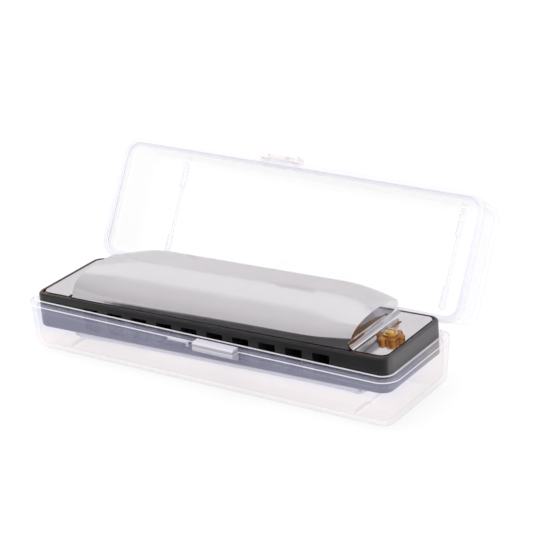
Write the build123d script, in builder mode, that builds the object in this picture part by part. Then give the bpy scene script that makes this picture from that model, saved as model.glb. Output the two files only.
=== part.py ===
"""Hinged translucent case with the ten-hole diatonic harmonica that it holds.

Millimetres, +Z up, +X along the length, -Y is the latch side. The origin is the
centre of the base's underside. The lid and its latch tab are drawn closed and then
swung open on the hinge, because the open case is the resting state of the model.
"""
import os

from build123d import *

os.makedirs("parts", exist_ok=True)

# ---- case halves -------------------------------------------------------------
case_length = 107.4
case_width = 32.4
rim_corner = 4.6
wall = 1.2
draft = 3.4
edge_round = 4.0
band_proud = 0.25
band_height = 1.5
parting_z = 13.2
lid_depth = 15.4
lip_height = 0.8
lip_inset = 1.2
lip_rear_trim = 0.3
rim_width = 1.8
rebate_gap = 0.2
parting_gap = 0.05

front = -case_width / 2
back = case_width / 2

# ---- hinge -------------------------------------------------------------------
hinge_y = back + 0.7
hinge_z = parting_z + 0.7
hinge_x = 30.0
open_angle = 120.0
knuckle_radius = 1.6
knuckle_length = 5.5
ear_thick = 2.0
ear_gap = 0.2
pin_radius = 0.8
pin_clearance = 0.05
notch_radius = 1.95
ear_root = 4.6
heel_reach = 3.2
heel_drop = 1.9
stop_start = 2.0
stop_fall = 0.6
knuckle_root = 4.6

# ---- latch -------------------------------------------------------------------
tab_width = 11.6
tab_reach = 2.7
tab_x = 6.4
tab_z_low = parting_z - 1.0
tab_z_high = parting_z + 1.2
face_gap = 0.15
catch_x = -5.1
catch_width = 6.0
catch_reach = 0.65
catch_height = 0.6
hasp_x = -5.45
hasp_reach = 1.9
hasp_root_z = parting_z + 2.0
hasp_bottom_z = parting_z - 1.3
hasp_window = 6.6
hasp_bar = 0.75
hook_reach = 0.72

# ---- harmonica: comb, plates and covers --------------------------------------
comb_length = 103.0
comb_width = 27.3
comb_thick = 9.0
comb_corner = 3.0
comb_edge = 0.4
frame_wall = 1.0
plate_thick = 1.0
sheet = 0.5
hole_count = 10
hole_pitch = 7.5
hole_width = 4.6
hole_height = 5.6
chamber_long = 21.0
chamber_short = 15.5
cover_rise = 5.9
level_x = 25.0
end_x = 40.6
blend_steps = 6
end_fillet = 1.6
back_edge = 1.1
slot_x = 43.6
slot_y = 19.0
slot_length = 4.0
slot_width = 0.9
vent_low = 1.6
vent_high = 3.5

comb_front = -13.95
comb_mid_y = comb_front + comb_width / 2
comb_z = 7.85
comb_top = comb_z + comb_thick
comb_mid_z = comb_z + comb_thick / 2
recess = plate_thick + sheet
shift_x = 0.2
lean = 1.44

# ---- reeds and rivets --------------------------------------------------------
reed_thick = 0.25
reed_width = 2.0
reed_root_y = comb_front + 3.2
reed_pad = 2.6
reed_longest = 15.5
reed_shortest = 9.5
slot_margin = 0.15
tip_gap = 0.3
rivet_radius = 0.8
rivet_sides = 12
rivet_head_radius = 1.05
rivet_head = 0.4

# ---- cover screws and star washers -------------------------------------------
# The high end's screw enters from above and the low end's from below.
screw_places = ((46.5, comb_front + 10.9), (-47.0, comb_front + 17.4))
screw_radius = 0.9
screw_hole_radius = 1.0
screw_head_radius = 1.35
screw_head_height = 1.2
screw_collar = 1.75
star_lobes = 6
star_core_radius = 2.6
star_lobe_reach = 2.5
star_lobe_radius = 1.0
star_thick = 1.2

# ---- low cross ribs in both halves -------------------------------------------
rib_x = 41.9
rib_half_length = 12.0
rib_thin = 0.8
rib_height = 0.6
rib_end_thick = 1.3
rib_end_length = 5.5
rib_end_height = 1.1
rib_root = 0.3


def hole_x(index):
    """Centre of one hole, counted from the low end."""
    return (index - (hole_count - 1) / 2) * hole_pitch


def between(start, end, index):
    """Value for one hole, on a straight run from the low end to the high end."""
    return start + (end - start) * index / (hole_count - 1)


def save(piece, name):
    """Label one finished piece and write its STEP file."""
    piece.label = name
    export_step(piece, f"parts/{name}.step")


# ---- hollow of the base -------------------------------------------------------
skin_length = case_length - 2 * band_proud
skin_width = case_width - 2 * band_proud
skin_corner = rim_corner - band_proud
hollow_length = skin_length - 2 * wall
hollow_width = skin_width - 2 * wall
hollow_corner = skin_corner - wall
skin_top = parting_z - band_height

with BuildPart() as base_hollow:
    with BuildSketch(Plane.XY.offset(skin_top)):
        RectangleRounded(hollow_length, hollow_width, hollow_corner)
    extrude(amount=-(skin_top - wall), taper=draft)
    fillet(base_hollow.faces().sort_by(Axis.Z)[0].edges(), edge_round - wall)

# ---- low cross ribs of the base, thicker and higher at both ends ----------------
rib_end_y = rib_half_length - rib_end_length / 2
rib_end_places = [(x, y) for x in (-rib_x, rib_x) for y in (-rib_end_y, rib_end_y)]
with BuildPart() as base_ribs:
    with BuildSketch(Plane.XY.offset(wall - rib_root)):
        with Locations((-rib_x, 0), (rib_x, 0)):
            Rectangle(rib_thin, 2 * rib_half_length)
    extrude(amount=rib_root + rib_height)
    with BuildSketch(Plane.XY.offset(wall - rib_root)):
        with Locations(*rib_end_places):
            Rectangle(rib_end_thick, rib_end_length)
    extrude(amount=rib_root + rib_end_height)

# ---- base: moulded tray with rim band, lip, thumb tab, catch and hinge ears ----
with BuildPart() as case_base:
    with BuildSketch(Plane.XY.offset(skin_top)):
        RectangleRounded(skin_length, skin_width, skin_corner)
    extrude(amount=-skin_top, taper=draft)
    fillet(case_base.faces().sort_by(Axis.Z)[0].edges(), edge_round)
    add(base_hollow.part, mode=Mode.SUBTRACT)
    with BuildSketch(Plane.XY.offset(skin_top)):
        RectangleRounded(case_length, case_width, rim_corner)
        RectangleRounded(
            case_length - 2 * rim_width,
            case_width - 2 * rim_width,
            rim_corner - rim_width,
            mode=Mode.SUBTRACT,
        )
    extrude(amount=band_height)
    with BuildSketch(Plane.XY.offset(parting_z)):
        with Locations((0, -lip_rear_trim / 2)):
            RectangleRounded(
                case_length - 2 * lip_inset,
                case_width - 2 * lip_inset - lip_rear_trim,
                rim_corner - lip_inset,
            )
        RectangleRounded(
            case_length - 2 * rim_width,
            case_width - 2 * rim_width,
            rim_corner - rim_width,
            mode=Mode.SUBTRACT,
        )
    extrude(amount=lip_height)
    add(base_ribs.part)
    # thumb tab: springs from the wall, its raised part stands clear of the lid
    with BuildSketch(Plane.YZ.offset(tab_x - tab_width / 2)):
        with BuildLine():
            Polyline(
                (front + 1.0, parting_z - 2.8),
                (front - tab_reach + 0.25, tab_z_low - 0.15),
                (front - tab_reach, tab_z_low + 0.1),
                (front - tab_reach, tab_z_high - 0.5),
                (front - tab_reach + 0.5, tab_z_high),
                (front - face_gap - 0.1, tab_z_high),
                (front - face_gap - 0.1, parting_z),
                (front + 1.0, parting_z),
                close=True,
            )
        make_face()
    extrude(amount=tab_width)
    # catch: a low ledge for the latch hook, with a short stop below its right end
    with BuildSketch(Plane.XY.offset(parting_z - 0.1 - catch_height)):
        with Locations((catch_x, front - catch_reach / 2 + 0.2)):
            Rectangle(catch_width, catch_reach + 0.4)
    extrude(amount=catch_height)
    with BuildSketch(Plane.XY.offset(parting_z - 1.5)):
        with Locations((catch_x + catch_width / 2 - 0.3, front - 0.1)):
            Rectangle(0.6, 1.0)
    extrude(amount=0.9)
    # hinge: the rim is notched for the lid's knuckles, and two ears stand by each
    for side in (-1, 1):
        with Locations((side * hinge_x, hinge_y, hinge_z)):
            Cylinder(
                notch_radius,
                knuckle_length + 2 * ear_gap,
                rotation=(0, 90, 0),
                mode=Mode.SUBTRACT,
            )
        for ear in (-1, 1):
            ear_x = side * hinge_x + ear * (knuckle_length / 2 + ear_gap + ear_thick / 2)
            with BuildSketch(Plane.YZ.offset(ear_x - ear_thick / 2)):
                with Locations((hinge_y, hinge_z)):
                    Circle(knuckle_radius)
                with BuildLine():
                    Polyline(
                        (back - 0.6, hinge_z - knuckle_radius),
                        (back - 1.0, hinge_z - ear_root),
                        (hinge_y + 0.4, hinge_z - ear_root + 0.6),
                        (hinge_y + heel_reach, hinge_z - heel_drop),
                        (hinge_y + heel_reach, hinge_z + 0.07 - stop_fall),
                        (hinge_y + stop_start, hinge_z + 0.07),
                        (hinge_y, hinge_z),
                        (hinge_y - 1.5, hinge_z - 0.5),
                        close=True,
                    )
                make_face()
                with Locations((hinge_y, hinge_z)):
                    Circle(pin_radius + pin_clearance, mode=Mode.SUBTRACT)
            extrude(amount=ear_thick)
save(case_base.part, "case_base")

# ---- hollow of the lid, drawn closed ------------------------------------------
lid_top = parting_z + lid_depth
ceiling = lid_top - wall

with BuildPart() as lid_hollow:
    with BuildSketch(Plane.XY.offset(parting_z)):
        RectangleRounded(hollow_length, hollow_width, hollow_corner)
    extrude(amount=ceiling - parting_z, taper=draft)
    fillet(lid_hollow.faces().sort_by(Axis.Z)[-1].edges(), edge_round - wall)

# ---- low cross ribs of the lid, the same as the base's -------------------------
with BuildPart() as lid_ribs:
    with BuildSketch(Plane.XY.offset(ceiling + rib_root)):
        with Locations((-rib_x, 0), (rib_x, 0)):
            Rectangle(rib_thin, 2 * rib_half_length)
    extrude(amount=-(rib_root + rib_height))
    with BuildSketch(Plane.XY.offset(ceiling + rib_root)):
        with Locations(*rib_end_places):
            Rectangle(rib_end_thick, rib_end_length)
    extrude(amount=-(rib_root + rib_end_height))

hinge_axis = Axis((0, hinge_y, hinge_z), (1, 0, 0))

# ---- lid: deeper moulded shell with rebated rim, ribs and hinge knuckles -------
lid_bottom = parting_z + parting_gap
lid_band = 2.0
rebate_inset = lip_inset - rebate_gap
with BuildPart() as case_lid:
    with BuildSketch(Plane.XY.offset(lid_bottom)):
        RectangleRounded(skin_length, skin_width, skin_corner)
    extrude(amount=lid_top - lid_bottom, taper=draft)
    fillet(case_lid.faces().sort_by(Axis.Z)[-1].edges(), edge_round)
    add(lid_hollow.part, mode=Mode.SUBTRACT)
    with BuildSketch(Plane.XY.offset(lid_bottom)):
        RectangleRounded(case_length, case_width, rim_corner)
        RectangleRounded(
            case_length - 2 * rim_width,
            case_width - 2 * rim_width,
            rim_corner - rim_width,
            mode=Mode.SUBTRACT,
        )
    extrude(amount=lid_band)
    with BuildSketch(Plane.XY.offset(parting_z)):
        RectangleRounded(
            case_length - 2 * rebate_inset,
            case_width - 2 * rebate_inset,
            rim_corner - rebate_inset,
        )
    extrude(amount=lip_height + rebate_gap, mode=Mode.SUBTRACT)
    add(lid_ribs.part)
    # pad behind the root of the latch tab
    with BuildSketch(Plane.XY.offset(hasp_root_z - 0.4)):
        with Locations((hasp_x, front + 0.35)):
            Rectangle(tab_width - 1.2, 0.9)
    extrude(amount=0.9)
    for side in (-1, 1):
        for ear in (-1, 1):
            ear_x = side * hinge_x + ear * (knuckle_length / 2 + ear_gap + ear_thick / 2)
            with Locations((ear_x, hinge_y, hinge_z)):
                Cylinder(
                    notch_radius,
                    ear_thick + 2 * ear_gap,
                    rotation=(0, 90, 0),
                    mode=Mode.SUBTRACT,
                )
        with BuildSketch(Plane.YZ.offset(side * hinge_x - knuckle_length / 2)):
            with Locations((hinge_y, hinge_z)):
                Circle(knuckle_radius)
            with BuildLine():
                Polyline(
                    (hinge_y - 1.4, hinge_z - 0.3),
                    (hinge_y + 1.5, hinge_z + 0.3),
                    (hinge_y + 0.6, hinge_z + 2.2),
                    (hinge_y - 1.2, hinge_z + knuckle_root),
                    (hinge_y - 1.6, hinge_z + knuckle_root),
                    close=True,
                )
            make_face()
        extrude(amount=knuckle_length)
        with Locations((side * hinge_x, hinge_y, hinge_z)):
            Cylinder(
                pin_radius,
                knuckle_length + 2 * (ear_gap + ear_thick),
                rotation=(0, 90, 0),
            )
save(case_lid.part.rotate(hinge_axis, -open_angle), "case_lid")

# ---- latch tab: a loop with a hook, flexing at its root on the lid -------------
hasp_inner = front - face_gap
hasp_outer = front - hasp_reach
window_inner = hasp_outer + hasp_bar

with BuildPart() as latch_tab:
    with BuildSketch(Plane.YZ.offset(hasp_x - tab_width / 2)):
        with BuildLine():
            Polyline(
                (hasp_inner, hasp_bottom_z),
                (hasp_outer + 0.6, hasp_bottom_z),
                (hasp_outer, hasp_bottom_z + 0.6),
                (hasp_outer, hasp_root_z - 0.6),
                (hasp_outer + 0.8, hasp_root_z + 0.4),
                (hasp_inner, hasp_root_z + 0.4),
                close=True,
            )
        make_face()
    extrude(amount=tab_width)
    fillet(latch_tab.edges().filter_by(Axis.Z).group_by(Axis.Y)[0], 1.0)
    with BuildSketch(Plane.XY.offset(hasp_bottom_z - 0.1)):
        with Locations((catch_x, (window_inner + hasp_inner) / 2 + 0.1)):
            Rectangle(hasp_window, hasp_inner - window_inner + 0.2)
    extrude(amount=hasp_root_z - hasp_bottom_z - 0.3, mode=Mode.SUBTRACT)
    with BuildSketch(Plane.XY.offset(hasp_bottom_z)):
        with Locations((catch_x - 0.4, window_inner + hook_reach / 2 - 0.1)):
            Rectangle(catch_width - 1.2, hook_reach + 0.2)
    extrude(amount=0.45)
save(latch_tab.part.rotate(hinge_axis, -open_angle), "latch_tab")

# ---- the harmonica is drawn level, then laid in the base as it really lies ------
def save_harmonica(piece, name):
    """Place one piece of the harmonica in the case and write its STEP file.

    It lies loose with its low end on the floor and its high end riding up a little
    between the tapered walls, so every piece turns by the same small lean.
    """
    lean_axis = Axis((0, 0, comb_z), (0, 1, 0))
    save(piece.rotate(lean_axis, -lean).translate((shift_x, 0, 0)), name)


# ---- comb: black moulded body, ten chambers, a recess in each face -------------
with BuildPart() as comb:
    with BuildSketch(Plane.XY.offset(comb_z)):
        with Locations((0, comb_mid_y)):
            RectangleRounded(comb_length, comb_width, comb_corner)
    extrude(amount=comb_thick)
    chamfer(comb.faces().filter_by(Axis.Z).edges(), comb_edge)
    for recess_z in (comb_z, comb_top - recess):
        with BuildSketch(Plane.XY.offset(recess_z)):
            with Locations((0, comb_mid_y)):
                RectangleRounded(
                    comb_length - 2 * frame_wall,
                    comb_width - 2 * frame_wall,
                    comb_corner - frame_wall,
                )
        extrude(amount=recess, mode=Mode.SUBTRACT)
    for index in range(hole_count):
        depth = between(chamber_long, chamber_short, index)
        with BuildSketch(Plane.XY.offset(comb_mid_z - hole_height / 2)):
            with Locations((hole_x(index), comb_front + frame_wall / 2)):
                Rectangle(hole_width, frame_wall * 2)
        extrude(amount=hole_height, mode=Mode.SUBTRACT)
        with BuildSketch(Plane.XY.offset(comb_z + recess)):
            with Locations((hole_x(index), comb_front + frame_wall + depth / 2)):
                Rectangle(hole_width, depth)
        extrude(amount=comb_thick - 2 * recess, mode=Mode.SUBTRACT)
    with BuildSketch(Plane.XY.offset(comb_z)):
        with Locations(*screw_places):
            Circle(screw_hole_radius)
    extrude(amount=comb_thick, mode=Mode.SUBTRACT)
save_harmonica(comb.part, "comb")

# ---- reed plates: brass, with a slot and a rivet hole for every reed -----------
plate_length = comb_length - 2 * frame_wall - 0.1
plate_width = comb_width - 2 * frame_wall - 0.1
plate_corner = comb_corner - frame_wall
for name, plate_z in (
    ("upper_reed_plate", comb_top - recess),
    ("lower_reed_plate", comb_z + recess - plate_thick),
):
    with BuildPart() as plate:
        with BuildSketch(Plane.XY.offset(plate_z)):
            with Locations((0, comb_mid_y)):
                RectangleRounded(plate_length, plate_width, plate_corner)
            with Locations(*screw_places):
                Circle(screw_hole_radius, mode=Mode.SUBTRACT)
            for index in range(hole_count):
                free = between(reed_longest, reed_shortest, index)
                with Locations((hole_x(index), reed_root_y + reed_pad + free / 2)):
                    Rectangle(reed_width + 2 * slot_margin, free, mode=Mode.SUBTRACT)
                with Locations((hole_x(index), reed_root_y + reed_pad / 2)):
                    RegularPolygon(rivet_radius, rivet_sides, mode=Mode.SUBTRACT)
        extrude(amount=plate_thick)
    save_harmonica(plate.part, name)

# ---- reeds: blow reeds hang in the chambers, draw reeds under the lower plate --
blow_reed_z = comb_top - recess - reed_thick
draw_reed_z = comb_z + recess - plate_thick - reed_thick
for kind, reed_z in (("blow", blow_reed_z), ("draw", draw_reed_z)):
    for index in range(hole_count):
        length = reed_pad + between(reed_longest, reed_shortest, index) - tip_gap
        with BuildPart() as reed:
            with BuildSketch(Plane.XY.offset(reed_z)):
                with Locations((hole_x(index), reed_root_y + length / 2)):
                    Rectangle(reed_width, length)
                with Locations((hole_x(index), reed_root_y + reed_pad / 2)):
                    RegularPolygon(rivet_radius, rivet_sides, mode=Mode.SUBTRACT)
            extrude(amount=reed_thick)
        save_harmonica(reed.part, f"{kind}_reed_{index + 1}")

# ---- rivets: one for each reed, with its head under the reed -------------------
# Forty small rivets' ends and holes are drawn with flat sides to keep the model light.
rivet_places = [(hole_x(index), reed_root_y + reed_pad / 2) for index in range(hole_count)]
for name, reed_z in (("upper_rivets", blow_reed_z), ("lower_rivets", draw_reed_z)):
    with BuildPart() as rivets:
        with BuildSketch(Plane.XY.offset(reed_z)):
            with Locations(*rivet_places):
                RegularPolygon(rivet_radius, rivet_sides)
        extrude(amount=reed_thick + plate_thick)
        with BuildSketch(Plane.XY.offset(reed_z - rivet_head)):
            with Locations(*rivet_places):
                RegularPolygon(rivet_head_radius, rivet_sides)
        extrude(amount=rivet_head)
    save_harmonica(rivets.part, name)

# ---- covers: pressed steel, flanged ends, open back, vent in each end ----------
# Each row is a point of the middle profile and of the end profile: distance from
# the comb's front, then height above the flange.
cover_rows = (
    ((1.2, -sheet), (1.5, -sheet)),
    ((1.6, 1.1), (2.1, 1.2)),
    ((2.7, 2.2), (3.2, 2.7)),
    ((6.4, 3.75), (6.2, 4.2)),
    ((11.0, 4.9), (10.5, 4.95)),
    ((17.0, 5.75), (16.0, 5.05)),
    ((22.5, cover_rise), (21.0, 4.6)),
    ((25.7, 5.75), (25.2, 3.4)),
)
# The middle profile runs straight to level_x, then blends step by step into the end's.
end_sections = [
    (level_x + (end_x - level_x) * step / blend_steps, (step / blend_steps) ** 2)
    for step in range(blend_steps + 1)
]
cover_sections = [(-x, share) for x, share in reversed(end_sections)] + end_sections


def cover_points(share, inset):
    """Profile points of one section, moved into the sheet by inset along the normal."""
    outer = [
        (
            comb_front + middle[0] + (end[0] - middle[0]) * share,
            comb_top + middle[1] + (end[1] - middle[1]) * share,
        )
        for middle, end in cover_rows
    ]
    points = []
    for index, (y, z) in enumerate(outer):
        before = outer[max(index - 1, 0)]
        after = outer[min(index + 1, len(outer) - 1)]
        along = Vector(after[0] - before[0], after[1] - before[1]).normalized()
        points.append((y + along.Y * inset, z - along.X * inset))
    return points


def opening_top(share):
    """Upper edge of the open back at one section, below the sheet's own back edge."""
    middle_height, end_height = cover_rows[-1][0][1], cover_rows[-1][1][1]
    return comb_top + middle_height + (end_height - middle_height) * share - back_edge


inside_scale = 1 - sheet / end_x
opening_scale = 1 - 2 * sheet / end_x
with BuildPart() as cover_inside:
    for x, share in cover_sections:
        points = cover_points(share, sheet)
        with BuildSketch(Plane.YZ.offset(x * inside_scale)):
            with BuildLine():
                Spline(*points)
                Polyline(points[-1], (points[-1][0], points[0][1]), points[0])
            make_face()
    loft(ruled=True)

with BuildPart() as upper_cover:
    for x, share in cover_sections:
        points = cover_points(share, 0)
        with BuildSketch(Plane.YZ.offset(x)):
            with BuildLine():
                Spline(*points)
                Polyline(points[-1], (points[-1][0], points[0][1]), points[0])
            make_face()
    loft(ruled=True)
    with BuildSketch(Plane.XY.offset(comb_top - sheet)):
        with Locations((0, comb_mid_y + 0.3)):
            RectangleRounded(plate_length - 0.6, plate_width - 1.0, plate_corner)
        Rectangle(2 * end_x - 0.4, case_width, mode=Mode.SUBTRACT)
        with Locations(*screw_places):
            Circle(screw_hole_radius, mode=Mode.SUBTRACT)
        with Locations((-slot_x, comb_front + slot_y), (slot_x, comb_front + slot_y)):
            SlotOverall(slot_length, slot_width, rotation=90, mode=Mode.SUBTRACT)
    extrude(amount=sheet)
    # the end walls sweep out into the flanges
    for side in (-1, 1):
        with BuildSketch(Plane.XZ.offset(-(comb_front + 1.7))):
            with BuildLine():
                Line((side * (end_x - 0.3), comb_top), (side * (end_x - 0.3), comb_top + end_fillet))
                Line((side * (end_x - 0.3), comb_top + end_fillet), (side * end_x, comb_top + end_fillet))
                ThreePointArc(
                    (side * end_x, comb_top + end_fillet),
                    (side * (end_x + end_fillet * 0.293), comb_top + end_fillet * 0.293),
                    (side * (end_x + end_fillet), comb_top),
                )
                Line((side * (end_x + end_fillet), comb_top), (side * (end_x - 0.3), comb_top))
            make_face()
        extrude(amount=-23.6)
    add(cover_inside.part, mode=Mode.SUBTRACT)
    # the sheet is open along the back, under a narrow turned-down edge
    with BuildSketch(Plane.XZ.offset(-(comb_front + 26.5))):
        with BuildLine():
            Polyline(
                (-end_x * opening_scale, comb_top - sheet),
                *[(x * opening_scale, opening_top(share)) for x, share in cover_sections],
                (end_x * opening_scale, comb_top - sheet),
                close=True,
            )
        make_face()
    extrude(amount=3.0, mode=Mode.SUBTRACT)
    # teardrop vent through both ends
    for vent_x in (-end_x - 3.0, end_x - 3.0):
        with BuildSketch(Plane.YZ.offset(vent_x)):
            with BuildLine():
                Spline(
                    (comb_front + 4.0, comb_top + vent_low + 0.3),
                    (comb_front + 4.6, comb_top + vent_high - 0.6),
                    (comb_front + 7.5, comb_top + vent_high),
                    (comb_front + 13.5, comb_top + vent_high - 0.4),
                    (comb_front + 20.0, comb_top + vent_low + 0.4),
                )
                Polyline(
                    (comb_front + 20.0, comb_top + vent_low + 0.4),
                    (comb_front + 19.8, comb_top + vent_low),
                    (comb_front + 4.3, comb_top + vent_low),
                    (comb_front + 4.0, comb_top + vent_low + 0.3),
                )
            make_face()
        extrude(amount=6.0, mode=Mode.SUBTRACT)
save_harmonica(upper_cover.part, "upper_cover")

with BuildPart() as lower_cover:
    mirror(upper_cover.part, about=Plane.XY.offset(comb_mid_z))
save_harmonica(lower_cover.part, "lower_cover")

# ---- screws and star washers: one set above the high end, one below the low end --
with BuildPart() as star_upper:
    with BuildSketch(Plane.XY.offset(comb_top)):
        with Locations(screw_places[0]):
            Circle(star_core_radius)
            with PolarLocations(star_lobe_reach, star_lobes, start_angle=10):
                Circle(star_lobe_radius)
            Circle(screw_radius + 0.02, mode=Mode.SUBTRACT)
    extrude(amount=star_thick)
    chamfer(star_upper.faces().sort_by(Axis.Z)[-1].outer_wire().edges(), 0.2)

high_x, high_y = screw_places[0]
head_z = comb_top + star_thick
with BuildPart() as screw_upper:
    with BuildSketch(Plane.XZ.offset(-high_y)):
        with BuildLine():
            Polyline(
                (high_x, comb_z + sheet),
                (high_x + screw_radius, comb_z + sheet),
                (high_x + screw_radius, head_z),
                (high_x + screw_collar, head_z),
                (high_x + screw_collar, head_z + 0.35),
                (high_x + screw_head_radius, head_z + 0.45),
                (high_x + screw_head_radius, head_z + screw_head_height - 0.4),
                (high_x + screw_head_radius - 0.4, head_z + screw_head_height),
                (high_x, head_z + screw_head_height),
                close=True,
            )
        make_face()
    revolve(axis=Axis((high_x, high_y, 0), (0, 0, 1)))
    with Locations((high_x, high_y, head_z + screw_head_height)):
        Box(2 * screw_head_radius, 0.4, 0.6, mode=Mode.SUBTRACT)

# The low end's set is the same one, turned over and moved to its own hole.
turn_axis = Axis((0, 0, comb_mid_z), (0, 1, 0))
low_x, low_y = screw_places[1]
low_move = (low_x + high_x, low_y - high_y, 0)
with BuildPart() as star_washers:
    add(star_upper.part)
    add(star_upper.part.rotate(turn_axis, 180).translate(low_move))
save_harmonica(star_washers.part, "star_washers")

with BuildPart() as cover_screws:
    add(screw_upper.part)
    add(screw_upper.part.rotate(turn_axis, 180).translate(low_move))
save_harmonica(cover_screws.part, "cover_screws")
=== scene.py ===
import math

import bmesh
import bpy
from mathutils import Matrix, Vector

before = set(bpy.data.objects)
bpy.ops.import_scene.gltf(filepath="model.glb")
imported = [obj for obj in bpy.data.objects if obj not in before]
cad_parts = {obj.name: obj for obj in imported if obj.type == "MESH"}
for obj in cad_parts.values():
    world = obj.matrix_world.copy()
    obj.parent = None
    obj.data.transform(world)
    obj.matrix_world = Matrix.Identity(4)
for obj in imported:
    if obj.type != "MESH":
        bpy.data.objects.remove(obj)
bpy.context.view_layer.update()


# ---- case base ---------------------------------------------------------------
# The base is one polypropylene moulding with a thin frosted wall, a rim lip, two cross
# ribs, the thumb tab and the hinge ears. It is milky rather than clear, so the dark comb
# reads through the wall as a bluish band, and it grows whiter where it is seen edge on.
# That bluish band is a painted cool cast, the white rim lines are painted highlights, the
# grey on the tab is painted shade and the lavender grey of edges seen edge on is painted.
mm = 0.001
sideways = (1.0, 0.0, 0.0)
forward = (0.0, -1.0, 0.0)
upward = (0.0, 0.0, 1.0)


class Value:
    """One socket of a material's node tree; sums and products of it add Math nodes."""

    def __init__(self, tree, socket):
        self.tree = tree
        self.socket = socket

    def node(self, kind, settings=(), inputs=(), output=0):
        """Add a node of any kind; settings are set before its sockets are filled."""
        new = self.tree.nodes.new(kind)
        for key, value in dict(settings).items():
            if key == "stops":
                ramp = new.color_ramp
                while len(ramp.elements) < len(value):
                    ramp.elements.new(0.5)
                for element, (place, colour) in zip(ramp.elements, value):
                    element.position = place
                    element.color = (*colour, 1.0)
            else:
                setattr(new, key, value)
        for key, value in dict(inputs).items():
            if isinstance(value, Value):
                self.tree.links.new(value.socket, new.inputs[key])
            else:
                new.inputs[key].default_value = value
        return Value(self.tree, new.outputs[output])

    def maths(self, operation, first, second=0.0):
        return self.node("ShaderNodeMath", {"operation": operation}, {0: first, 1: second})

    def __add__(self, other):
        return self.maths("ADD", self, other)

    def __radd__(self, other):
        return self.maths("ADD", other, self)

    def __sub__(self, other):
        return self.maths("SUBTRACT", self, other)

    def __rsub__(self, other):
        return self.maths("SUBTRACT", other, self)

    def __mul__(self, other):
        return self.maths("MULTIPLY", self, other)

    def __rmul__(self, other):
        return self.maths("MULTIPLY", other, self)

    def __pow__(self, other):
        return self.maths("POWER", self, other)

    def __abs__(self):
        return self.maths("ABSOLUTE", self)

    def at_least_zero(self):
        return self.maths("MAXIMUM", self)

    def above(self, edge, softness):
        """0 below the edge, 1 above it, with a soft step between."""
        return self.node(
            "ShaderNodeMapRange",
            {"interpolation_type": "SMOOTHSTEP"},
            {"Value": self, "From Min": edge - softness, "From Max": edge + softness},
        )

    def between(self, low, high, softness):
        """1 between low and high, 0 outside, with soft steps."""
        return self.above(low, softness) * (1.0 - self.above(high, softness))

    def along(self, direction):
        """How far this vector reaches along a direction."""
        return self.node(
            "ShaderNodeVectorMath", {"operation": "DOT_PRODUCT"}, {0: self, 1: direction}, 1
        )

    def blend(self, low, high):
        """The colour low where this is 0 and high where it is 1."""
        ends = [tint if isinstance(tint, Value) else (*tint, 1.0) for tint in (low, high)]
        return self.node(
            "ShaderNodeMix",
            {"data_type": "RGBA"},
            {"Factor": self, 6: ends[0], 7: ends[1]},
            output=2,
        )


def start_material(name):
    """A new node material, its Principled shader and its Object coordinates."""
    material = bpy.data.materials.new(name)
    material.use_nodes = True
    shader = material.node_tree.nodes["Principled BSDF"]
    place = Value(material.node_tree, None).node("ShaderNodeTexCoord", output="Object")
    return material, shader, place


def feed(shader, name, value):
    """Link a value into one of the shader's sockets, or set it if it is constant."""
    if isinstance(value, Value):
        value.tree.links.new(value.socket, shader.inputs[name])
    else:
        shader.inputs[name].default_value = value


def noise(place, scale, detail=3.0):
    """Fractal noise over Object coordinates, about 0 to 1."""
    return place.node(
        "ShaderNodeTexNoise",
        {"noise_dimensions": "3D"},
        {"Vector": place, "Scale": scale, "Detail": detail, "Roughness": 0.5},
    )


def bump(place, height, strength, distance):
    """A normal bent by a height, for a shader's Normal."""
    return place.node(
        "ShaderNodeBump", {}, {"Height": height, "Strength": strength, "Distance": distance}
    )


def dress(names, material):
    """Give each of these CAD nodes one material all over."""
    for name in names:
        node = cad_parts[name]
        node.data.materials.clear()
        node.data.materials.append(material)


plastic_roughness = 0.2
speck_roughness = 0.14
speck_height = 0.6
edge_on_haze = 0.3
flow_mark_haze = 0.04
polypropylene_ior = 1.49


def frosted(name, haze, haze_colour, painted_edge_shade, thick_and_highlit):
    """Frosted polypropylene: an even haze, with more where the last argument says (thicker
    parts and painted highlight lines) or where it is seen edge on, with a painted edge
    shade colour there.
    """
    material, shader, place = start_material(name)
    flow = noise(place, scale=60.0, detail=4.0)
    speck = noise(place, scale=900.0, detail=2.0)
    facing = place.node("ShaderNodeLayerWeight", {}, {"Blend": 0.35}, output="Facing")
    edge_on = facing ** 3.0
    more = thick_and_highlit(place)
    flow_marks = (flow - 0.5) * flow_mark_haze
    # Painted edge shade: the colour turns a lavender grey where the surface is seen edge
    # on.
    feed(shader, "Base Color", edge_on.blend(haze_colour(place, more), painted_edge_shade))
    feed(shader, "Alpha", haze + edge_on * edge_on_haze + more + flow_marks)
    feed(shader, "Roughness", plastic_roughness + (speck - 0.5) * speck_roughness)
    height = speck * speck_height + flow
    feed(shader, "Normal", bump(place, height, strength=0.05, distance=0.2 * mm))
    feed(shader, "IOR", polypropylene_ior)
    return material


base_half_length = 53.7 * mm
base_half_width = 16.2 * mm
base_corner = 4.6 * mm
outer_skin = 0.3 * mm
parting_z = 13.2 * mm
ledge_low, ledge_high = parting_z - 0.35 * mm, parting_z - 0.05 * mm
lip_top = 14.0 * mm
lip_edge = lip_top - 0.04 * mm
lip_wall_low, lip_wall_high = parting_z + 0.03 * mm, lip_top - 0.08 * mm
tab_root = base_half_width + 0.15 * mm
cool_band_low = 7.4 * mm
comb_lean = 0.025

base_wall_haze = 0.15
# Painted highlight lines: the haze added along the rims of the base and the lid.
painted_rim_line_haze = 0.55
tab_haze = 0.58
lip_clearing = 0.11
wall_warm = (1.0, 0.89, 0.935)
# Painted cool cast for the front wall where the dark comb shows through it.
painted_cool_cast = (0.72, 0.72, 0.97)
# Painted highlight white for the rim lines.
painted_rim_highlight_white = (0.97, 0.96, 0.98)
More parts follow.
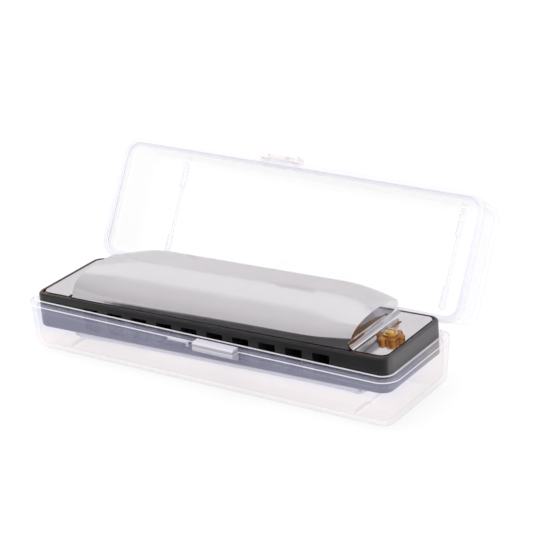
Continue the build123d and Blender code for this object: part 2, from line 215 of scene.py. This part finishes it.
# Painted shade: the solid tab is coloured greyer than the same plastic elsewhere.
painted_tab_shade_grey = (0.56, 0.54, 0.6)
# Painted edge shade colour for the base.
base_painted_edge_shade = (0.5, 0.5, 0.62)


def base_thickness_and_highlights(place):
    """Painted highlight lines on the ledge's outer edge and the lip's top, with the lip
    wall cleared between them, and more haze on the solid tab.
    """
    up = place.along(upward)
    past_x = abs(place.along(sideways)) - (base_half_length - base_corner)
    past_y = abs(place.along(forward)) - (base_half_width - base_corner)
    from_corner = (past_x.at_least_zero() ** 2.0 + past_y.at_least_zero() ** 2.0) ** 0.5
    outer_face = from_corner.above(base_corner - outer_skin, softness=0.1 * mm)
    ledge = up.between(ledge_low, ledge_high, softness=0.03 * mm)
    lip = up.above(lip_edge, softness=0.02 * mm)
    lip_wall = up.between(lip_wall_low, lip_wall_high, softness=0.02 * mm)
    tab = place.along(forward).above(tab_root, softness=0.05 * mm)
    # The ledge and lip terms are painted highlight lines; the tab term adds haze for the
    # solid tab.
    return (ledge * outer_face + lip) * painted_rim_line_haze + tab * tab_haze - lip_wall * lip_clearing


def base_haze(place, more):
    """Warm below the comb, with a painted cool cast beside it, painted white rim lines and
    a painted grey shade on the tab.
    """
    ahead = place.along(forward)
    over_lean = place.along(upward) - place.along(sideways) * comb_lean
    front_half = ahead.above(0.0, softness=8.0 * mm)
    # Painted cool cast: a bluish band on the front half of the wall at the comb's height.
    beside_comb = over_lean.above(cool_band_low, softness=0.7 * mm) * front_half
    wall = beside_comb.blend(wall_warm, painted_cool_cast)
    # The tab's grey is painted shade; the white of the rim lines is painted highlight.
    tab = ahead.above(tab_root + 0.05 * mm, softness=0.05 * mm)
    thick_and_highlit = tab.blend(painted_rim_highlight_white, painted_tab_shade_grey)
    return more.above(0.15, softness=0.1).blend(wall, thick_and_highlit)


base_plastic = frosted(
    "base_polypropylene", base_wall_haze, base_haze, base_painted_edge_shade, base_thickness_and_highlights
)
dress(["case_base"], base_plastic)

# ---- case lid ----------------------------------------------------------------
# The lid is a deeper moulding in the same plastic, rebated to drop over the base's lip.
# It snaps onto the base's ears by its own stub axles and rests on them when it is open.
hinge_y = 16.9 * mm
hinge_z = 13.9 * mm
open_angle = math.radians(120)
lid_up = (0.0, math.sin(open_angle), math.cos(open_angle))
lid_rim_level = lid_up[1] * hinge_y + lid_up[2] * hinge_z - (hinge_z - parting_z)
# Painted highlight lines run along the lid's rim edge and its rebate.
lid_edge_depth = 0.25 * mm
rebate_low, rebate_high = 0.8 * mm, 1.1 * mm
lid_ceiling = 14.2 * mm
rib_low, rib_high = lid_ceiling - 1.2 * mm, lid_ceiling - 0.04 * mm
rib_inner_x, rib_outer_x = 41.15 * mm, 42.65 * mm

lid_wall_haze = 0.12
rib_haze = 0.2
lid_wall_white = (0.9, 0.885, 0.92)
# Painted grey for the lid's rim lines, rebate and ribs.
lid_painted_line_grey = (0.78, 0.76, 0.84)
# Painted edge shade colour for the lid.
lid_painted_edge_shade = (0.4, 0.38, 0.48)


def lid_thickness_and_highlights(place):
    """Painted highlight lines on the lid's rim edge and its rebate, and more haze on its
    two low ribs.
    """
    depth = place.along(lid_up) - lid_rim_level
    across = abs(place.along(sideways))
    edge = 1.0 - depth.above(lid_edge_depth, softness=0.03 * mm)
    rebate = depth.between(rebate_low, rebate_high, softness=0.05 * mm)
    rib_width = across.between(rib_inner_x, rib_outer_x, softness=0.03 * mm)
    rib_height = depth.between(rib_low, rib_high, softness=0.02 * mm)
    # The edge and rebate terms are painted highlight lines; the rib term adds haze on the
    # ribs.
    return (edge + rebate) * painted_rim_line_haze + rib_width * rib_height * rib_haze


def lid_haze(place, more):
    """Plain on the walls, with a painted grey on the rim lines, the rebate and the ribs."""
    return more.above(0.15, softness=0.1).blend(lid_wall_white, lid_painted_line_grey)


lid_plastic = frosted("lid_polypropylene", lid_wall_haze, lid_haze, lid_painted_edge_shade, lid_thickness_and_highlights)
dress(["case_lid"], lid_plastic)

# ---- latch tab ---------------------------------------------------------------
# A small loop on the lid's rim, moulded with it and joined by a thin flexing root. It is
# thicker than the walls, so it looks more solid.
latch_wall_haze = 0.1
latch_core_haze = 0.25
latch_uneven_haze = 0.1
latch_thin_white = (0.93, 0.89, 0.91)
latch_full_white = (0.87, 0.825, 0.85)
# Painted edge shade colour for the latch loop.
latch_painted_edge_shade = (0.42, 0.38, 0.43)


def latch_thick(place):
    """About the same all over, because the loop is one even bar of plastic."""
    return noise(place, scale=300.0) * latch_uneven_haze + latch_core_haze


def latch_haze(place, more):
    """A faint warm white, because the loop is small and light runs right through it."""
    return more.above(0.3, softness=0.05).blend(latch_thin_white, latch_full_white)


latch_plastic = frosted(
    "tab_polypropylene", latch_wall_haze, latch_haze, latch_painted_edge_shade, latch_thick
)
dress(["latch_tab"], latch_plastic)

# ---- comb --------------------------------------------------------------------
# The comb is the harmonica's body, moulded in black ABS with a fine satin skin. Ten mouth
# holes open in its front, and its upper and lower faces are recessed for the plates.
comb_end_x = 51.0 * mm
comb_front_shades = ((0.012, 0.0115, 0.012), (0.019, 0.018, 0.02))
# Painted sheen: the ends are the same black ABS, coloured a lighter grey as if lit from the
# side.
comb_end_painted_sheen = ((0.07, 0.066, 0.07), (0.095, 0.09, 0.093))
comb_roughness = 0.24
comb_wear_roughness = 0.14

comb_black, shader, place = start_material("comb_black_abs")
grain = noise(place, scale=1800.0, detail=2.0)
wear = noise(place, scale=90.0, detail=4.0)
# Painted sheen on the comb's end faces.
end_face = abs(place.along(sideways)).above(comb_end_x, softness=0.25 * mm)
front_black = wear.blend(*comb_front_shades)
end_painted_sheen = wear.blend(*comb_end_painted_sheen)
feed(shader, "Base Color", end_face.blend(front_black, end_painted_sheen))
feed(shader, "Roughness", comb_roughness + wear * comb_wear_roughness)
feed(shader, "Specular IOR Level", 0.35)
feed(shader, "Normal", bump(place, grain, strength=0.15, distance=0.08 * mm))
dress(["comb"], comb_black)

# ---- reed plates, reeds and rivets -------------------------------------------
# Two stamped brass plates close the comb's chambers. Each carries ten thinner brass reeds,
# held by one rivet apiece at the mouthpiece end, over slots that they swing through.
cover_hollow_x = 40.9 * mm
brass_in_shadow = (0.08, 0.04, 0.016)
plate_bright = (0.86, 0.46, 0.16)
plate_tarnished = (0.6, 0.26, 0.07)
reed_bright = (0.83, 0.62, 0.3)
reed_tarnished = (0.6, 0.4, 0.16)
grain_roughness = 0.12
tarnish_roughness = 0.08


def brass(name, bright, tarnished, roughness, brushed=1.0, shade=0.0):
    """Brass with a grain brushed along its length, some tarnish, and shade under covers."""
    material, shader, place = start_material(name)
    stretched = place.node(
        "ShaderNodeMapping", {}, {"Vector": place, "Scale": (1.0, brushed, brushed)}
    )
    grain = noise(stretched, scale=700.0, detail=2.0)
    tarnish = noise(place, scale=140.0, detail=5.0)
    colour = tarnish.above(0.55, softness=0.2).blend(bright, tarnished)
    if shade:
        covered = 1.0 - abs(place.along(sideways)).above(cover_hollow_x, softness=0.4 * mm)
        colour = (covered * shade).blend(colour, brass_in_shadow)
    feed(shader, "Base Color", colour)
    feed(shader, "Metallic", 1.0)
    uneven = grain * grain_roughness + tarnish * tarnish_roughness
    feed(shader, "Roughness", roughness + uneven)
    feed(shader, "Normal", bump(place, grain, strength=0.2, distance=0.05 * mm))
    return material


plate_brass = brass(
    "plate_brass", plate_bright, plate_tarnished, roughness=0.22, brushed=12.0, shade=0.85
)
dress(["upper_reed_plate", "lower_reed_plate", "upper_rivets", "lower_rivets"], plate_brass)
reed_brass = brass("reed_brass", reed_bright, reed_tarnished, roughness=0.18, brushed=20.0)
reeds = [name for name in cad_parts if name.startswith(("blow_reed_", "draw_reed_"))]
dress(reeds, reed_brass)

# ---- covers ------------------------------------------------------------------
# Each cover is pressed from thin steel sheet and chromium plated: a steep front, a top that
# rises to the open back, and a flat flange at each end that screws down into the comb.
upper_chrome_shades = ((0.71, 0.695, 0.715), (0.77, 0.755, 0.775))
# Painted shade: the lower cover is the same chrome, coloured darker for the shade it sits
# in under the comb.
lower_chrome_painted_shade = ((0.58, 0.57, 0.58), (0.64, 0.625, 0.64))
chrome_roughness = 0.08
smear_roughness = 0.08


def chromium(name, shades):
    """Chromium plate with a slight ripple from the press and a thin smear of handling."""
    material, shader, place = start_material(name)
    ripple = noise(place, scale=35.0, detail=2.0)
    smear = noise(place, scale=160.0, detail=5.0)
    feed(shader, "Base Color", smear.blend(*shades))
    feed(shader, "Metallic", 1.0)
    feed(shader, "Roughness", chrome_roughness + smear * smear_roughness)
    feed(shader, "Normal", bump(place, ripple, strength=0.1, distance=0.3 * mm))
    return material


dress(["upper_cover"], chromium("cover_chrome", upper_chrome_shades))
# The lower cover's darker chrome is painted shade.
dress(["lower_cover"], chromium("under_cover_chrome_painted_shade", lower_chrome_painted_shade))

# ---- cover screws and star washers -------------------------------------------
# Two turned brass screws clamp the covers through the comb, one from above and one from
# below. Under each head lies a six-lobed washer stamped from darker brass.
star_bright = (0.58, 0.25, 0.07)
star_tarnished = (0.2, 0.065, 0.016)
screw_bright = (0.86, 0.62, 0.3)
screw_tarnished = (0.6, 0.38, 0.12)

star_brass = brass("star_brass", star_bright, star_tarnished, roughness=0.2)
dress(["star_washers"], star_brass)
screw_brass = brass("screw_brass", screw_bright, screw_tarnished, roughness=0.2)
dress(["cover_screws"], screw_brass)

# ---- floor -------------------------------------------------------------------
# A flat sheet of white paper that runs on past the view. It shows its own white to the
# camera, to polished metal and through the plastic, and still takes the case's shadow.
floor_half_width = 1.5
floor_shades = ((0.9, 0.9, 0.9), (0.92, 0.92, 0.92))
floor_own_white = 0.85


def stand(name, shape, material):
    """Put a bmesh into the studio as an object that isn't part of the case."""
    mesh = bpy.data.meshes.new(name)
    shape.to_mesh(mesh)
    shape.free()
    mesh.materials.append(material)
    standing = bpy.data.objects.new(name, mesh)
    bpy.context.collection.objects.link(standing)
    return standing


paper_white, shader, place = start_material("floor_paper")
feed(shader, "Base Color", noise(place, scale=40.0).blend(*floor_shades))
feed(shader, "Roughness", 0.9)
seen = sum(
    place.node("ShaderNodeLightPath", output=ray)
    for ray in ("Is Camera Ray", "Is Glossy Ray", "Is Transmission Ray")
)
lit = Value(place.tree, shader.outputs["BSDF"])
own_white = place.node(
    "ShaderNodeEmission", {}, {"Color": (1.0, 1.0, 1.0, 1.0), "Strength": 1.0}
)
surface = place.node(
    "ShaderNodeMixShader", {}, {0: seen * floor_own_white, 1: lit, 2: own_white}
)
output = place.tree.nodes["Material Output"]
place.tree.links.new(surface.socket, output.inputs["Surface"])

paper = bmesh.new()
bmesh.ops.create_grid(paper, x_segments=1, y_segments=1, size=floor_half_width)
stand("floor", paper, paper_white)

# ---- light and boards --------------------------------------------------------
# Even white light from all around and one wide soft box over the left shoulder. Four matt
# boards, seen by polished surfaces alone, give the covers their bands: a dark screen and a
# grey board in front, and a striped board and a grey one behind.
world = bpy.data.worlds.new("studio")
bpy.context.scene.world = world
world.use_nodes = True
world.node_tree.nodes["Background"].inputs["Color"].default_value = (1.0, 1.0, 1.0, 1.0)
world.node_tree.nodes["Background"].inputs["Strength"].default_value = 1.0


def matt(name, colour):
    """A board's dull face, in a colour worked out from the place on it."""
    material, shader, place = start_material(name)
    feed(shader, "Base Color", colour(place))
    feed(shader, "Roughness", 1.0)
    feed(shader, "Specular IOR Level", 0.0)
    return material


def studio_board(name, rows, material):
    """A board that only polished surfaces see; rows hold y, z and the left and right x."""
    board = bmesh.new()
    y, z, left, right = rows[0]
    edge = board.edges.new([board.verts.new((x, y, z)) for x in (left, right)])
    for y, z, left, right in rows[1:]:
        grown = bmesh.ops.extrude_edge_only(board, edges=[edge])["geom"]
        edge = next(part for part in grown if isinstance(part, bmesh.types.BMEdge))
        corners = sorted(edge.verts, key=lambda corner: corner.co.x)
        for corner, x in zip(corners, (left, right)):
            corner.co = (x, y, z)
    panel = stand(name, board, material)
    panel.visible_camera = False
    panel.visible_diffuse = False
    panel.visible_transmission = False
    panel.visible_shadow = False


felt_shades = ((0.058, 0.054, 0.056), (0.085, 0.08, 0.083))
screen_y = -0.498
over_floor = 0.6 * mm
screen_rows = (
    (-0.03, over_floor, -0.045, 0.1),
    (screen_y, over_floor, -0.4, -0.14),
    (screen_y, 0.36, -0.435, -0.14),
    (screen_y, 0.6, -0.51, -0.14),
    (screen_y, 0.72, -0.53, -0.14),
)


def felt_black(place):
    """Nearly black felt, a little uneven."""
    return noise(place, scale=30.0).blend(*felt_shades)


studio_board("dark_screen", screen_rows, matt("screen_felt", felt_black))

front_shades = ((0.58, 0.565, 0.58), (0.74, 0.725, 0.735))
fleck_grey = (0.6, 0.6, 0.6)
grey_left, grey_right = -1.6, 0.3
grey_rows = (
    (-0.5, 0.0, grey_left, grey_right),
    (-0.5, 0.74, grey_left, grey_right),
    (0.0, 1.0, grey_left, grey_right),
    (0.7, 1.0, grey_left, grey_right),
)


def front_grey(place):
    """Darker in front and paler overhead, with a few flecks of plain grey."""
    overhead = place.along((0.0, 1.0, 0.0)).above(0.2, softness=0.7)
    flecks = noise(place, scale=20.0).above(0.9, softness=0.1)
    return flecks.blend(overhead.blend(*front_shades), fleck_grey)


studio_board("grey_board", grey_rows, matt("grey_board", front_grey))

side_rows = ((0.55, 0.0, 0.1, 0.9), (0.55, 0.75, 0.1, 0.9))
stripes = (
    (0.1, (0.7, 0.69, 0.7)),
    (0.2, (0.3, 0.29, 0.31)),
    (0.3, (0.62, 0.6, 0.62)),
    (0.36, (0.2, 0.195, 0.21)),
    (0.45, (0.45, 0.44, 0.46)),
    (0.7, (0.3, 0.29, 0.31)),
)


def striped_grey(place):
    """Upright stripes, pale and dark by turns, for the streaks at the cover's ends."""
    across = place.along(sideways) + noise(place, scale=4.0) * 0.04
    return across.node("ShaderNodeValToRGB", {"stops": stripes}, {"Fac": across})


studio_board("side_board", side_rows, matt("side_board", striped_grey))

rear_rows = ((0.8, 0.0, -1.4, -0.1), (0.8, 0.53, -1.4, -0.1))
rear_shades = ((0.62, 0.605, 0.615), (0.67, 0.655, 0.665))


def rear_grey(place):
    """A middle grey, a little uneven."""
    return noise(place, scale=5.0).blend(*rear_shades)


studio_board("rear_board", rear_rows, matt("rear_board", rear_grey))

soft_box = bpy.data.lights.new("soft_box", "AREA")
soft_box.size = 1.2
soft_box.energy = 14.0
lamp = bpy.data.objects.new("soft_box", soft_box)
lamp.location = (-0.45, -0.3, 1.5)
lamp.rotation_euler = lamp.location.to_track_quat("Z", "Y").to_euler()
bpy.context.collection.objects.link(lamp)
lamp.visible_glossy = False

# ---- camera ------------------------------------------------------------------
# A long lens stands half a metre off, to the right of the latch and a little over the
# case. It is rolled by three degrees.
camera_place = Vector((255.51, -367.13, 209.53)) * mm
camera_azimuth = math.radians(33.592)
camera_elevation = math.radians(22.383)
camera_roll = math.radians(-3.028)
camera_data = bpy.data.cameras.new("camera")
camera_data.lens = 131.57
camera_data.sensor_width = 36.0
camera = bpy.data.objects.new("camera", camera_data)
turned = Matrix.Rotation(camera_azimuth, 4, "Z")
tipped = Matrix.Rotation(math.radians(90) - camera_elevation, 4, "X")
rolled = Matrix.Rotation(camera_roll, 4, "Z")
camera.matrix_world = Matrix.Translation(camera_place) @ turned @ tipped @ rolled
bpy.context.collection.objects.link(camera)
bpy.context.scene.camera = camera
bpy.context.scene.view_settings.view_transform = "Standard"
